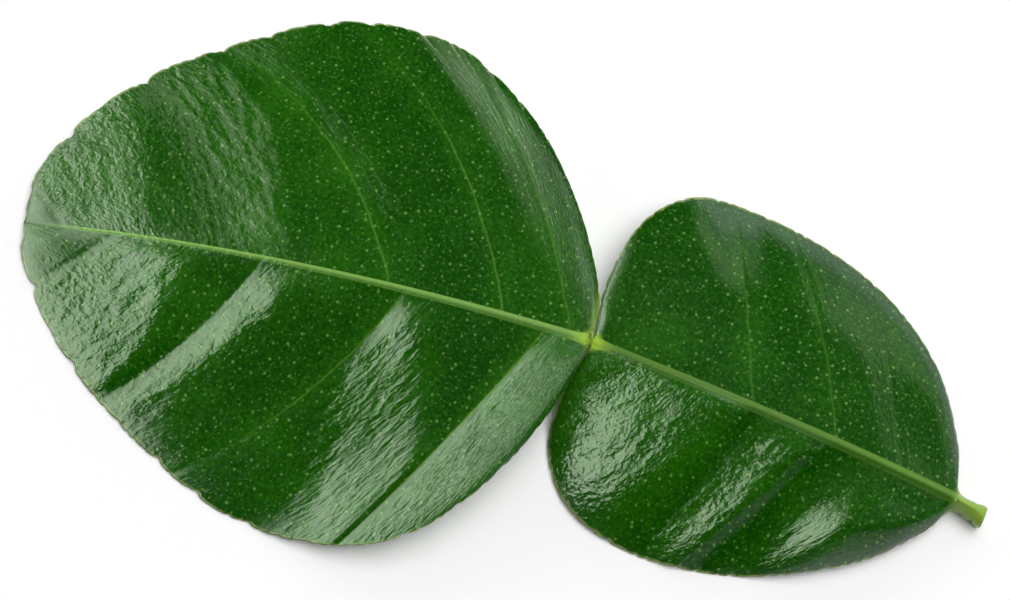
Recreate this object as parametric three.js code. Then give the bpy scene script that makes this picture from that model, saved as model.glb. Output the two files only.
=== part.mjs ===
// Kaffir lime leaf, lying on its underside with its glossy side up, in millimetres with +Z up.
// It is a compound leaf of two pieces that grow end to end: the petiole, whose broad wings make
// it look like a second leaf, and the leaflet, which sits on its far end at a natural joint.
// Each piece is a thin domed blade with a thick midrib, lofted from the base of its growth to
// its far end. In a piece's own frame X is the way it grows and +Y is its front half.
import * as THREE from "three";

const { lerp, smoothstep, degToRad } = THREE.MathUtils;

// ---- Driving dimensions ----
const PETIOLE_LENGTH = 46.4; // from the cut end of the stalk to the joint
const STALK_LENGTH = 3.4; // bare stalk before the wings begin
const STALK_BEND = 0.6; // sideways sweep of the stalk's cut end towards the front
const STALK_HEIGHT = 1.2; // of the stalk's middle at its cut end
const STALK_RADIUS = 1.15;
const STALK_FLARE = 0.15; // how much thicker the stalk is at its cut end
const STALK_FLARE_REACH = 3;
const CREST_ALONG = 28; // where the petiole's midrib is highest
const CREST_HEIGHT = 6.4;
const JOINT_HEIGHT = 5.6; // of both midribs at the joint
const JOINT_GAP = 0.4; // clearance between the two pieces
const JOINT_SWELLING = 0.35; // how much thicker both midribs are at the joint
const JOINT_SWELLING_REACH = 1.3;
const JOINT_BEND = 10.8; // degrees from the petiole's line to the leaflet's
const LEAFLET_LENGTH = 64.5; // from the joint to the tip
const LEAFLET_TIP_HEIGHT = 0.35;
const MIDRIB_BOW = 1.7; // sideways bow of the leaflet's midrib towards the back
const MIDRIB_BOW_ALONG = 38;
const PETIOLE_TURN = 174.5; // degrees from +X to the way the petiole grows

const BLADE_THICKNESS = 0.34;
const MARGIN_THICKNESS = 0.2;
const RIDGE_SHARE = 0.3; // how far the midrib stands above the blade, as a share of its radius
const CLEFT_RISE = 0.55; // mm along the margin from a scallop's crest down to a cleft
const CLEFT_FALL = 0.95; // and from the cleft out to the next scallop
const CLEFT_POWER = 18; // how fast a cleft fades from the margin inwards
const ROOT_EVENNESS = 0.03; // 1 would space the roots of the veins evenly along the midrib
const TAPER_POWER = 0.8; // below 1 the midrib tapers faster near the base of the growth
const CREASE_POWER = 1.4; // how far towards its crest a soft bulge is steepest
const ROLL_REACH = 7; // width of a half at which its margin rolls down in full
const WIDE_BLADE = 8; // midrib radii at which a half has its full set of blade columns
const NARROW_BLADE = 1.6; // and at which it is all midrib

// Columns of a half section: the first three shape the midrib, the rest the blade.
const RIB_COLUMNS = [0, 0.6, 1]; // in midrib radii
const BLADE_COLUMNS = [0.25, 0.45, 0.65, 0.82, 0.93, 1]; // in shares of the half's width

// A half blade: the outline and relief on one side of the midrib.
//   margin   outline from the base of the growth to its far end, [along, out from the axis]
//   clefts   [distance along the margin, depth] of each cleft between the margin's scallops
//   veins    lateral veins, [where it leaves the midrib, distance along the margin that it aims
//            at, bow towards the base as a share of its length]
//   panels   bulges between the veins, from the base of the growth to its far end
//   fold     share of the half's fall that starts as a fold along the midrib
//   fall     shares of growth between which the margin comes down from the joint or rises to it
// A panel's crest and foot say where across it the highest line lies and where the bulge has
// come down again, by the midrib and by the margin. Past bend the crest runs along the panel,
// soft is how gently the bulge starts and ends, and at the share onset of the way out it is
// full.
const PANEL = { crest: [0.4, 0.4], foot: [1, 1], soft: 0, onset: 0.15, bend: 0.9 };
const LEAFLET_FRONT = {
  side: 1,
  margin: [
    [0.2, 0.7], [2.8, 8.6], [7.9, 17.6], [15.6, 24.9], [25.5, 27.4], [36.3, 25.8],
    [45.9, 20.8], [54.9, 14.3], [60.6, 8.2], [63.9, 2.8], [64.5, -0.6],
  ],
  clefts: [
    [16.5, 0.2], [22.5, 0.2], [28.7, 0.25], [40.2, 0.25], [46.8, 0.45], [53.6, 0.5],
    [59, 0.4], [65.3, 0.25], [73.6, 0.6], [78, 0.2], [83.5, 0.75], [89.6, 0.4],
  ],
  veins: [[5, 36.5, 0.03], [21, 57, 0.14], [37, 68.5, 0.1], [54, 84, 0.05]],
  panels: [
    { rise: 1.9, crest: [0.1, 0.12] },
    { rise: 0.85, crest: [0.86, 0.03], foot: [1.38, 0.14], bend: 0.7 },
    { rise: 0.8, crest: [0.72, 0.8], soft: 0.3 },
    { rise: 0.8, crest: [0.5, 0.12], soft: 0.5 },
    { rise: 0.06, crest: [0.3, 0.3] },
  ],
  fold: 1.3,
  fall: [0.12, 0.5],
};
const LEAFLET_BACK = {
  side: -1,
  margin: [
    [0.2, 0.7], [0.2, 5.2], [3.5, 12.9], [8.4, 20.4], [13.4, 25.5], [20.2, 30.2],
    [28.2, 32], [36.4, 31], [45.6, 26.6], [54.2, 21.1], [61.3, 13.6], [64.7, 6.6], [64.5, 1.2],
  ],
  clefts: [
    [34, 0.4], [43, 0.3], [49.5, 0.45], [54, 0.6], [61, 0.5], [66.5, 0.6],
    [70, 0.35], [76, 0.8], [82, 0.25], [86.5, 0.9], [90.5, 0.2], [94.5, 0.5],
  ],
  veins: [[2.3, 37, 0.1], [10, 51, 0.17], [22.8, 66, 0.2], [42, 76, 0.16], [60, 94, 0.06]],
  panels: [
    { rise: 0 },
    { rise: 0.03, crest: [0.5, 0.5], soft: 1 },
    { rise: 0.12, crest: [0.75, 0.75], soft: 1, onset: 0.5 },
    { rise: 0.3, crest: [0.67, 0.3], soft: 1 },
    { rise: 0.35, crest: [0.5, 0.25], soft: 1 },
    { rise: 0.03, soft: 1 },
  ],
  fold: 1,
  fall: [0, 0.4],
};
const WING_FRONT = {
  side: 1,
  margin: [
    [0, 1.8], [3.4, 1.2], [5.4, 4.6], [10.4, 10.1], [18.5, 15.2], [26.4, 18],
    [34.4, 18.9], [41.8, 17.1], [46.4, 12.1], [47.3, 6], [46.2, 0.75],
  ],
  clefts: [],
  veins: [[17, 33, 0.05], [27, 40, 0.05]],
  panels: [
    { rise: 2.8, crest: [0.66, 0.56], foot: [1, 0.88], soft: 0.6, onset: 0.6 },
    { rise: 1, crest: [0.38, 0.38], soft: 0.8 },
    { rise: 1, crest: [0.15, 0.3], soft: 0.6, onset: 0.07 },
  ],
  fold: 0.8,
  fall: [0.88, 1],
};
const WING_BACK = {
  side: -1,
  margin: [
    [0, 0.6], [3.4, 1.1], [5.4, 6], [10.2, 12.8], [17.2, 17.9], [25.3, 20.7],
    [34.2, 21.7], [40.6, 20.8], [44.6, 17.8], [46.9, 13.2], [47.4, 6], [46.2, 0.75],
  ],
  clefts: [],
  veins: [[10, 31, 0.05], [18, 41, 0.08], [27.6, 47.4, 0.02], [37, 55, 0.05]],
  panels: [
    { rise: 0.04, soft: 1 },
    { rise: 0.04, soft: 1 },
    { rise: 0.02, soft: 1 },
    { rise: 0.04, soft: 1 },
    { rise: 0.1, soft: 1 },
  ],
  fold: 0.5,
  fall: [0.6, 1],
};

// A quadratic curve from start to end, pulled towards bend.
function quadratic(start, bend, end, t) {
  return (1 - t) ** 2 * start + 2 * t * (1 - t) * bend + t ** 2 * end;
}

// A smooth curve through points whose places rise, as a function of place.
function smoothRun(places, values) {
  const last = places.length - 1;
  const rate = (i) => (values[i + 1] - values[i]) / (places[i + 1] - places[i]);
  const slopes = places.map((place, i) => {
    if (i === 0 || i === last) {
      return rate(Math.min(i, last - 1));
    }
    const before = place - places[i - 1];
    const after = places[i + 1] - place;
    return (before * rate(i) + after * rate(i - 1)) / (before + after);
  });
  return (place) => {
    const found = places.findLastIndex((start) => place >= start);
    const i = Math.max(0, Math.min(last - 1, found));
    const gap = places[i + 1] - places[i];
    const t = Math.max(0, Math.min(1, (place - places[i]) / gap));
    const [start, end] = [values[i], values[i + 1]];
    const [leave, arrive] = [slopes[i] * gap, slopes[i + 1] * gap];
    const cubic = (2 * start - 2 * end + leave + arrive) * t ** 3;
    return cubic + (3 * end - 3 * start - 2 * leave - arrive) * t ** 2 + leave * t + start;
  };
}

// One blade with its midrib. A section runs along a pair of lateral veins, from the front
// margin in to the midrib and out again to the back margin, so it has the shape of a chevron.
// share says how far a section has come, 0 at the base of the growth and 1 at the far end, and
// out says how far a point lies from the midrib, 0 on it and 1 on the margin.
class Blade {
  constructor(halves, sizes) {
    Object.assign(this, sizes);
    this.halves = halves.map((half) => {
      const curve = new THREE.SplineCurve(half.margin.map(([x, y]) => new THREE.Vector2(x, y)));
      const arc = curve.getLength();
      const edges = [this.stalkShare, ...half.veins.map(([root]) => this.shareAt(root)), 1];
      const aims = [this.stalkShare * arc, ...half.veins.map(([, aim]) => aim), arc];
      const bows = half.veins.map(([, , bow]) => bow);
      return {
        ...half,
        curve,
        arc,
        edges,
        panels: half.panels.map((panel) => ({ ...PANEL, ...panel })),
        aim: smoothRun(edges, aims.map((aim) => aim / arc)),
        bow: smoothRun(edges, [bows[0], ...bows, bows[bows.length - 1]]),
      };
    });
  }

  // Growth past the bare stalk, 0 where the blade begins and 1 at its far end.
  bladeShare(share) {
    return Math.max(0, (share - this.stalkShare) / (1 - this.stalkShare));
  }

  // Place along the midrib where a section's pair of lateral veins starts.
  rootAt(share) {
    const grown = this.bladeShare(share);
    const spread = lerp(grown ** this.rootPower, grown, ROOT_EVENNESS);
    const stalk = this.stalk * Math.min(1, share / Math.max(this.stalkShare, 1e-6));
    return this.start + stalk + (this.end - this.start - this.stalk) * spread;
  }

  // The section whose veins start at a place along the midrib.
  shareAt(x) {
    let low = 0;
    let high = 1;
    for (let step = 0; step < 30; step += 1) {
      const middle = (low + high) / 2;
      if (this.rootAt(middle) < x) {
        low = middle;
      } else {
        high = middle;
      }
    }
    return low;
  }

  // Share of the margin's length at which a section ends.
  marginShare(half, share) {
    return Math.min(1, share < this.stalkShare ? share : half.aim(share));
  }

  // How far the margin lies from the midrib, along a section.
  reach(half, share) {
    const rim = half.curve.getPointAt(this.marginShare(half, share));
    const root = this.rootAt(share);
    return Math.hypot(rim.x - root, half.side * rim.y - this.midline(root));
  }

  // How far the clefts between the margin's scallops draw a point inwards.
  cleft(half, share, out) {
    const distance = this.marginShare(half, share) * half.arc;
    const depth = half.clefts.reduce((sum, [at, deep]) => {
      const width = distance < at ? CLEFT_RISE : CLEFT_FALL;
      return sum + deep * Math.exp(-Math.abs(distance - at) / width);
    }, 0);
    return depth * out ** CLEFT_POWER;
  }

  // Place of a point seen from above.
  plan(half, share, out) {
    const along = this.marginShare(half, share);
    const rim = half.curve.getPointAt(along);
    const rimY = half.side * rim.y;
    const rootX = this.rootAt(share);
    const rootY = this.midline(rootX);
    const bow = half.bow(share) * smoothstep(share, 0, this.stalkShare + 0.1);
    const bendX = (rootX + rim.x) / 2 - Math.abs(rimY - rootY) * bow;
    const bendY = (rootY + rimY) / 2 + half.side * Math.abs(rim.x - rootX) * bow;
    const tangent = half.curve.getTangentAt(along);
    const cleft = this.cleft(half, share, out);
    return {
      x: quadratic(rootX, bendX, rim.x, out) + tangent.y * cleft,
      y: quadratic(rootY, bendY, rimY, out) - half.side * tangent.x * cleft,
    };
  }

  // Panels between two lateral veins bulge upwards: from a vein up to a crest, and down again.
  bulge(half, share, out) {
    const { edges, panels } = half;
    const found = edges.findLastIndex((edge) => share >= edge);
    const index = Math.max(0, Math.min(panels.length - 1, found));
    const across = Math.max(0, (share - edges[index]) / (edges[index + 1] - edges[index]));
    const panel = panels[index];
    const crest = lerp(...panel.crest, smoothstep(out / panel.bend, 0, 1));
    const foot = Math.min(1, lerp(...panel.foot, out));
    const climb = Math.max(0, across < crest ? across / crest : (foot - across) / (foot - crest));
    const sharp = Math.sin((Math.PI / 2) * climb) ** this.crease;
    const shape = lerp(sharp, smoothstep(climb ** CREASE_POWER, 0, 1), panel.soft);
    const fade = smoothstep(out, -0.02, panel.onset) * (1 - this.hem * out ** 3);
    return panel.rise * shape * fade;
  }

  // Height of the blade's middle surface: a dome whose margin rolls down, with its bulges.
  height(half, share, place) {
    const reach = this.reach(half, share);
    const out = Math.max(0, place - this.cleft(half, share, place) / Math.max(1, reach));
    const crown = this.crown(this.rootAt(share));
    const margin = this.marginHeight(half, share);
    const fall = lerp(out ** 2, out, half.fold);
    const grown = smoothstep(share, this.stalkShare, this.stalkShare + 0.15);
    const open = grown * smoothstep(reach, 0, ROLL_REACH);
    const roll = this.roll * open * smoothstep(out, 0, 0.6) * (1 - out ** this.rollPower);
    return lerp(crown, margin, fall) + roll + this.bulge(half, share, out);
  }

  // Radius of the midrib, which is thicker at the joint and at the cut end of the stalk.
  ribRadius(x) {
    const taper = lerp(...this.ribRadii, Math.max(0, Math.min(1, x / this.end)) ** TAPER_POWER);
    const swelling = Math.exp(-((this.jointDistance(x) / JOINT_SWELLING_REACH) ** 2));
    const flare = Math.exp(-((x / STALK_FLARE_REACH) ** 2));
    return taper + JOINT_SWELLING * swelling + this.flare * flare;
  }

  // Upper and lower points of half a section, from the midrib out to the margin.
  halfSection(half, share) {
    const root = this.rootAt(share);
    const radius = this.ribRadius(root);
    const rim = half.curve.getPointAt(this.marginShare(half, share));
    const width = Math.abs(half.side * rim.y - this.midline(root));
    const columns = [...RIB_COLUMNS.map((c) => (c * radius) / width), ...BLADE_COLUMNS];
    const isBlade = smoothstep(width, NARROW_BLADE * radius, WIDE_BLADE * radius);
    const ridge = lerp(1, RIDGE_SHARE, smoothstep(share, 0, this.stalkShare + 0.05));
    return columns.map((column, index) => {
      const out = lerp(index / (columns.length - 1), column, isBlade);
      const { x, y } = this.plan(half, share, out);
      const aside = Math.min(1, Math.abs(y - this.midline(x)) / radius);
      const rib = radius * Math.sqrt(1 - aside ** 2);
      const skin = lerp(BLADE_THICKNESS, MARGIN_THICKNESS, out ** 4) / 2;
      const middle = this.height(half, share, out);
      return {
        top: [x, y, middle + Math.max(skin, ridge * rib)],
        bottom: [x, y, middle - Math.max(skin, rib)],
      };
    });
  }

  // The closed skin of the blade, section by section.
  geometry() {
    const [front, back] = this.halves;
    const rows = [];
    for (let station = 0; station <= this.stations; station += 1) {
      const share = station / this.stations;
      const backHalf = this.halfSection(back, share);
      rows.push([...this.halfSection(front, share).reverse(), ...backHalf.slice(1)]);
    }
    const columns = rows[0].length;
    const size = rows.length * columns;
    const vertices = [...rows.flat().map((p) => p.top), ...rows.flat().map((p) => p.bottom)];
    const top = (row, column) => row * columns + column;
    const bottom = (row, column) => size + top(row, column);
    const triangles = [];
    const quad = (a, b, c, d) => triangles.push(a, b, c, a, c, d);
    const last = columns - 1;
    for (let r = 0; r < rows.length - 1; r += 1) {
      for (let c = 0; c < last; c += 1) {
        quad(top(r, c), top(r, c + 1), top(r + 1, c + 1), top(r + 1, c));
        quad(bottom(r, c), bottom(r + 1, c), bottom(r + 1, c + 1), bottom(r, c + 1));
      }
      quad(top(r, 0), top(r + 1, 0), bottom(r + 1, 0), bottom(r, 0));
      quad(top(r + 1, last), top(r, last), bottom(r, last), bottom(r + 1, last));
    }
    const far = rows.length - 1;
    for (let c = 0; c < last; c += 1) {
      quad(top(0, c), bottom(0, c), bottom(0, c + 1), top(0, c + 1));
      quad(top(far, c), top(far, c + 1), bottom(far, c + 1), bottom(far, c));
    }
    const geometry = new THREE.BufferGeometry();
    geometry.setAttribute("position", new THREE.Float32BufferAttribute(vertices.flat(), 3));
    geometry.setIndex(triangles);
    geometry.computeVertexNormals();
    return geometry;
  }
}

// The leaflet: widest near its base, arching down to its tip.
class Leaflet extends Blade {
  constructor() {
    super([LEAFLET_FRONT, LEAFLET_BACK], {
      start: JOINT_GAP / 2,
      end: LEAFLET_LENGTH,
      stalk: 0,
      stalkShare: 0,
      rootPower: 2.5,
      crease: 1.25,
      hem: 0.88,
      ribRadii: [0.83, 0.28],
      flare: 0,
      roll: 0.3,
      rollPower: 12,
      stations: 92,
    });
  }

  midline(x) {
    return -MIDRIB_BOW * (1 - ((x - MIDRIB_BOW_ALONG) / MIDRIB_BOW_ALONG) ** 2);
  }

  crown(x) {
    return lerp(JOINT_HEIGHT, LEAFLET_TIP_HEIGHT, (x / LEAFLET_LENGTH) ** 2.8);
  }

  jointDistance(x) {
    return x;
  }

  // The margin comes down to the surface from the height of the joint.
  marginHeight(half, share) {
    const hang = JOINT_HEIGHT * (1 - smoothstep(share, ...half.fall));
    return hang + LEAFLET_TIP_HEIGHT * smoothstep(share, 0.9, 1);
  }
}

// The winged petiole: a bare stalk that opens into two wings and ends at the joint.
class WingedPetiole extends Blade {
  constructor() {
    super([WING_FRONT, WING_BACK], {
      start: 0,
      end: PETIOLE_LENGTH - JOINT_GAP / 2,
      stalk: STALK_LENGTH,
      stalkShare: 0.05,
      rootPower: 1.5,
      crease: 1.7,
      hem: 0.6,
      ribRadii: [STALK_RADIUS, 0.85],
      flare: STALK_FLARE,
      roll: 0.5,
      rollPower: 10,
      stations: 62,
    });
  }

  midline(x) {
    return STALK_BEND * Math.max(0, 1 - x / 5) ** 2;
  }

  crown(x) {
    const [from, reach] =
      x < CREST_ALONG ? [STALK_HEIGHT, CREST_ALONG] : [JOINT_HEIGHT, PETIOLE_LENGTH - CREST_ALONG];
    return lerp(CREST_HEIGHT, from, ((x - CREST_ALONG) / reach) ** 2);
  }

  jointDistance(x) {
    return PETIOLE_LENGTH - x;
  }

  // The margin rests on the surface, and rises to the joint at the far end.
  marginHeight(half, share) {
    const stalk = STALK_HEIGHT * (1 - smoothstep(share, this.stalkShare, 0.3));
    return stalk + JOINT_HEIGHT * smoothstep(share, ...half.fall);
  }
}

const leafGreen = new THREE.MeshStandardMaterial({
  name: "glossy_leaf",
  color: 0x1a5208,
  roughness: 0.32,
  metalness: 0,
});
const wingGreen = new THREE.MeshStandardMaterial({
  name: "glossy_wings",
  color: 0x1e5808,
  roughness: 0.32,
  metalness: 0,
});

const leaflet = new THREE.Mesh(new Leaflet().geometry(), leafGreen);
leaflet.name = "terminal_leaflet";

const petiole = new THREE.Mesh(new WingedPetiole().geometry(), wingGreen);
petiole.name = "winged_petiole";

// The leaflet grows on from the far end of the petiole.
const joint = new THREE.Group();
joint.position.x = PETIOLE_LENGTH;
joint.rotation.z = degToRad(JOINT_BEND);
joint.add(leaflet);

const leaf = new THREE.Group();
leaf.rotation.z = degToRad(PETIOLE_TURN);
leaf.add(petiole, joint);

// The leaf lies on the plane Z = 0 with the middle of its footprint over the origin.
const kaffirLimeLeaf = new THREE.Group();
kaffirLimeLeaf.add(leaf);
const box = new THREE.Box3().setFromObject(kaffirLimeLeaf, true);
const middle = box.getCenter(new THREE.Vector3());
leaf.position.set(-middle.x, -middle.y, -box.min.z);

export default kaffirLimeLeaf;
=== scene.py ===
"""Finished look of a kaffir lime leaf that lies glossy side up on a pale floor.

The leaf has two pieces that grow end to end: the winged petiole and, past a natural joint, the
leaflet. It is shaped in millimetres, and every mesh is in metres. In a piece's own frame X is
the way it grows and +Y is its front half.
"""

import logging
import math
from dataclasses import dataclass
from enum import Enum
from typing import Any

import bpy
import numpy as np
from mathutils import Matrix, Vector, noise


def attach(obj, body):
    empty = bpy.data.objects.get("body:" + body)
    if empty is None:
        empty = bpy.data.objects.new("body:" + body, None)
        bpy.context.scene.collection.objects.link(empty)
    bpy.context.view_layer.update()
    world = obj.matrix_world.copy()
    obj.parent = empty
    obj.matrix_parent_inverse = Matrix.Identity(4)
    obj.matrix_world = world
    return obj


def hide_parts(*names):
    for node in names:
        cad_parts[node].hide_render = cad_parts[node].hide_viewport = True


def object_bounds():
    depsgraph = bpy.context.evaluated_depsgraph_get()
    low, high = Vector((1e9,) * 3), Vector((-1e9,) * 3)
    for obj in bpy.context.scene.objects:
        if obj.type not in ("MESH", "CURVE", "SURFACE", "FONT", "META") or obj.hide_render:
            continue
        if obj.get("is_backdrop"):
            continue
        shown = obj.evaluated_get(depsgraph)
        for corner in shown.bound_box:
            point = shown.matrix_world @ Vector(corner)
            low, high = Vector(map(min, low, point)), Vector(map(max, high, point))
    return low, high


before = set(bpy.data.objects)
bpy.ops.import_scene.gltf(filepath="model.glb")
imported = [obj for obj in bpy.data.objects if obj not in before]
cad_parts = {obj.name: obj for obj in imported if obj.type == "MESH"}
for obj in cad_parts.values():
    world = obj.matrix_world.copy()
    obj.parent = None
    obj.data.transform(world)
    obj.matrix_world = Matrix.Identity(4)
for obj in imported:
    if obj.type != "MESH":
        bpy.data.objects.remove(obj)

Array = np.ndarray
Colour = tuple[float, float, float, float]

MM = 0.001
log = logging.getLogger("leaf")

# Heights and lengths in millimetres, and turns in degrees.
JOINT_HEIGHT = 5.6
JOINT_OVERLAP = 0.2
JOINT_BEND = 10.8
PETIOLE_TURN = 174.5
PETIOLE_LENGTH = 46.4
LEAFLET_LENGTH = 64.5
BLADE_THICKNESS = 0.34
MARGIN_THICKNESS = 0.2

# How the midrib thins, and how far its swelling at the joint and its flare at the cut reach.
TAPER_POWER = 0.8
SWELLING_REACH = 1.3
FLARE_REACH = 3.0

# Lateral veins: how evenly they leave the midrib, and how the soft bulges between them start.
ROOT_EVENNESS = 0.03
CREASE_POWER = 1.4

# Clefts of the margin, and the fine teeth between them, whose places and sizes drift.
CLEFT_RISE = 0.55
CLEFT_FALL = 0.95
CLEFT_POWER = 18
TOOTH_LENGTH = 1.6
TOOTH_DEPTH = 0.22
TOOTH_DRIFT = 0.3
TOOTH_DRIFT_RATE = 0.8
TOOTH_SIZE_RATE = 1.3

# Unevenness: the wide sway, wrinkles as (width, length, depth), and the grain map's width.
SWAY_HEIGHT = 0.09
SWAY_LENGTH = 7
SWAY_LEVEL = 0.3
WRINKLES = ((1.5, 4.0, 0.07), (0.8, 2.0, 0.035))
GRAIN_WIDTH = 30

# Where the mesh is finer, as (reach, how much finer).
VEIN_PEAK = (0.006, 1.0)
MIDRIB_PEAK = (0.05, 3.0)
MARGIN_PEAK = (0.08, 1.5)


def srgb(red: float, green: float, blue: float) -> Colour:
    """Turns a colour on the 0 to 255 display scale into linear light.

    Args:
        red: Red on the display scale.
        green: Green on the display scale.
        blue: Blue on the display scale.

    Returns:
        The linear colour with full alpha.
    """
    parts = [c / 255 for c in (red, green, blue)]
    linear = [c / 12.92 if c <= 0.04045 else ((c + 0.055) / 1.055) ** 2.4 for c in parts]
    return (linear[0], linear[1], linear[2], 1.0)


def smoothstep(value: Array | float, low: float, high: float) -> Array:
    """Eases a value from 0 at low to 1 at high."""
    share = np.clip((np.asarray(value, float) - low) / (high - low), 0.0, 1.0)
    return share * share * (3 - 2 * share)


def lerp(start: Array | float, end: Array | float, share: Array | float) -> Array:
    """Mixes two values: start at share 0, end at share 1."""
    return start + (end - start) * share


def cubic(start: Array, end: Array, leave: Array, arrive: Array, way: Array) -> Array:
    """Curves smoothly from start at way 0 to end at way 1, with these slopes at its ends."""
    third = (2 * start - 2 * end + leave + arrive) * way**3
    return third + (3 * end - 3 * start - 2 * leave - arrive) * way**2 + leave * way + start


def spaced(count: int, peaks: list[tuple[float, float, float]]) -> Array:
    """Spaces numbers from 0 to 1, closer together round some of them.

    Args:
        count: How many numbers.
        peaks: Where they lie closer, as (place, reach, how much closer).

    Returns:
        The numbers in rising order.
    """
    fine = np.linspace(0, 1, 4001)
    density = np.ones_like(fine)
    for place, reach, gain in peaks:
        density += gain * np.exp(-(((fine - place) / reach) ** 2))
    total = np.concatenate([[0.0], np.cumsum((density[1:] + density[:-1]) / 2)])
    return np.interp(np.linspace(0, total[-1], count), total, fine)


def cloud(x: Array, y: Array, level: float) -> Array:
    """Returns smooth noise between -1 and 1 at points of one level."""
    return np.array([noise.noise(Vector((a, b, level))) for a, b in zip(x, y)])


def points_of(mesh: bpy.types.Mesh) -> Array:
    """Reads the places of a mesh's vertices.

    Args:
        mesh: The mesh.

    Returns:
        One row of X, Y and Z for each vertex.
    """
    places = np.empty(len(mesh.vertices) * 3)
    mesh.vertices.foreach_get("co", places)
    return places.reshape(-1, 3)


class Outline:
    """A smooth line through a few points, measured by its own length."""

    def __init__(self, points: tuple[tuple[float, float], ...]) -> None:
        """Runs a Catmull-Rom spline through the points.

        Args:
            points: The points of the line.
        """
        knots = np.array(points, float)
        spans = len(knots) - 1
        place = np.linspace(0, spans, 4001)
        span = np.minimum(place.astype(int), spans - 1)
        before, start = knots[np.maximum(span - 1, 0)], knots[span]
        end, after = knots[span + 1], knots[np.minimum(span + 2, spans)]
        leave, arrive = (end - before) / 2, (after - start) / 2
        self.path = cubic(start, end, leave, arrive, (place - span)[:, None])
        steps = np.linalg.norm(np.diff(self.path, axis=0), axis=1)
        self.run = np.concatenate([[0.0], np.cumsum(steps)])
        self.length = float(self.run[-1])

    def at(self, share: Array) -> tuple[Array, Array]:
        """Returns the two coordinates of points, by their share of the line's length."""
        run = np.clip(share, 0, 1) * self.length
        return np.interp(run, self.run, self.path[:, 0]), np.interp(run, self.run, self.path[:, 1])

    def tangent(self, share: Array) -> tuple[Array, Array]:
        """Finds the line's direction by share of its length.

        Args:
            share: Shares between 0 and 1.

        Returns:
            The two parts of the unit direction.
        """
        step = 0.1 / self.length
        x0, y0 = self.at(share - step)
        x1, y1 = self.at(share + step)
        size = np.hypot(x1 - x0, y1 - y0) + 1e-9
        return (x1 - x0) / size, (y1 - y0) / size


class Run:
    """A smooth curve through points whose first coordinates rise."""

    def __init__(self, places: list[float], values: list[float]) -> None:
        """Works out the slope at each point.

        Args:
            places: Rising places.
            values: Value at each place.
        """
        self.places = np.array(places, float)
        self.values = np.array(values, float)
        self.slopes = np.gradient(self.values, self.places)

    def at(self, place: Array) -> Array:
        """Finds the value of the curve.

        Args:
            place: Places along the curve.

        Returns:
            Values there.
        """
        index = np.searchsorted(self.places, place, side="right") - 1
        index = np.clip(index, 0, len(self.places) - 2)
        gap = self.places[index + 1] - self.places[index]
        way = np.clip((place - self.places[index]) / gap, 0, 1)
        start, end = self.values[index], self.values[index + 1]
        return cubic(start, end, self.slopes[index] * gap, self.slopes[index + 1] * gap, way)


class Side(Enum):
    """The halves of a blade on the two sides of its midrib, with the sign of their Y."""

    FRONT = 1
    BACK = -1


@dataclass(frozen=True)
class Vein:
    """A lateral vein: where it leaves the midrib, and how far along the margin it aims.

    bow is how far it curves towards the base, as a share of its length, and mark is how
    clearly its pale line shows.
    """

    root: float
    reach: float
    bow: float = 0.1
    mark: float = 0.0


@dataclass(frozen=True)
class Panel:
    """The bulge between two lateral veins.

    crest and foot say where across the panel its highest line lies and where it has come down
    again, by the midrib and by the margin. Past bend the crest runs along the panel. soft is how
    gently the bulge starts and ends, onset is the share of the way out at which it is full, and
    crumple is how wrinkled it is.
    """

    rise: float
    crest: tuple[float, float] = (0.4, 0.4)
    foot: tuple[float, float] = (1.0, 1.0)
    crumple: float = 1.0
    soft: float = 0.0
    onset: float = 0.15
    bend: float = 0.9


@dataclass(frozen=True)
class HalfShape:
    """Outline and relief of a blade on one side of its midrib.

    margin is the outline from the base of the growth to its far end, as (along, out from the
    axis), and clefts are (distance along the margin, depth). fold is the part of the fall that
    starts as a fold along the midrib, and fall says where the margin comes down from the joint,
    or rises to it.
    """

    side: Side
    margin: tuple[tuple[float, float], ...]
    veins: tuple[Vein, ...]
    panels: tuple[Panel, ...]
    fold: float
    clefts: tuple[tuple[float, float], ...] = ()
    fall: tuple[float, float] = (0.0, 0.4)


LEAFLET_FRONT = HalfShape(
    side=Side.FRONT,
    margin=(
        (0.2, 0.7), (2.8, 8.6), (7.9, 17.6), (15.6, 24.9), (25.5, 27.4), (36.3, 25.8),
        (45.9, 20.8), (54.9, 14.3), (60.6, 8.2), (63.9, 2.8), (64.5, -0.6),
    ),
    clefts=(
        (16.5, 0.2), (22.5, 0.2), (28.7, 0.25), (40.2, 0.25), (46.8, 0.45), (53.6, 0.5),
        (59, 0.4), (65.3, 0.25), (73.6, 0.6), (78, 0.2), (83.5, 0.75), (89.6, 0.4),
    ),
    veins=(
        Vein(5, 36.5, 0.03, 0.7),
        Vein(21, 57, 0.14, 0.5),
        Vein(37, 68.5, 0.1),
        Vein(54, 84, 0.05),
    ),
    panels=(
        Panel(1.9, (0.1, 0.12)),
        Panel(0.85, (0.86, 0.03), (1.38, 0.14), crumple=0.9, bend=0.7),
        Panel(0.8, (0.72, 0.8), soft=0.3),
        Panel(0.8, (0.5, 0.12), crumple=1.3, soft=0.5),
        Panel(0.06, (0.3, 0.3), crumple=8),
    ),
    fold=1.3,
    fall=(0.12, 0.5),
)
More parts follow.
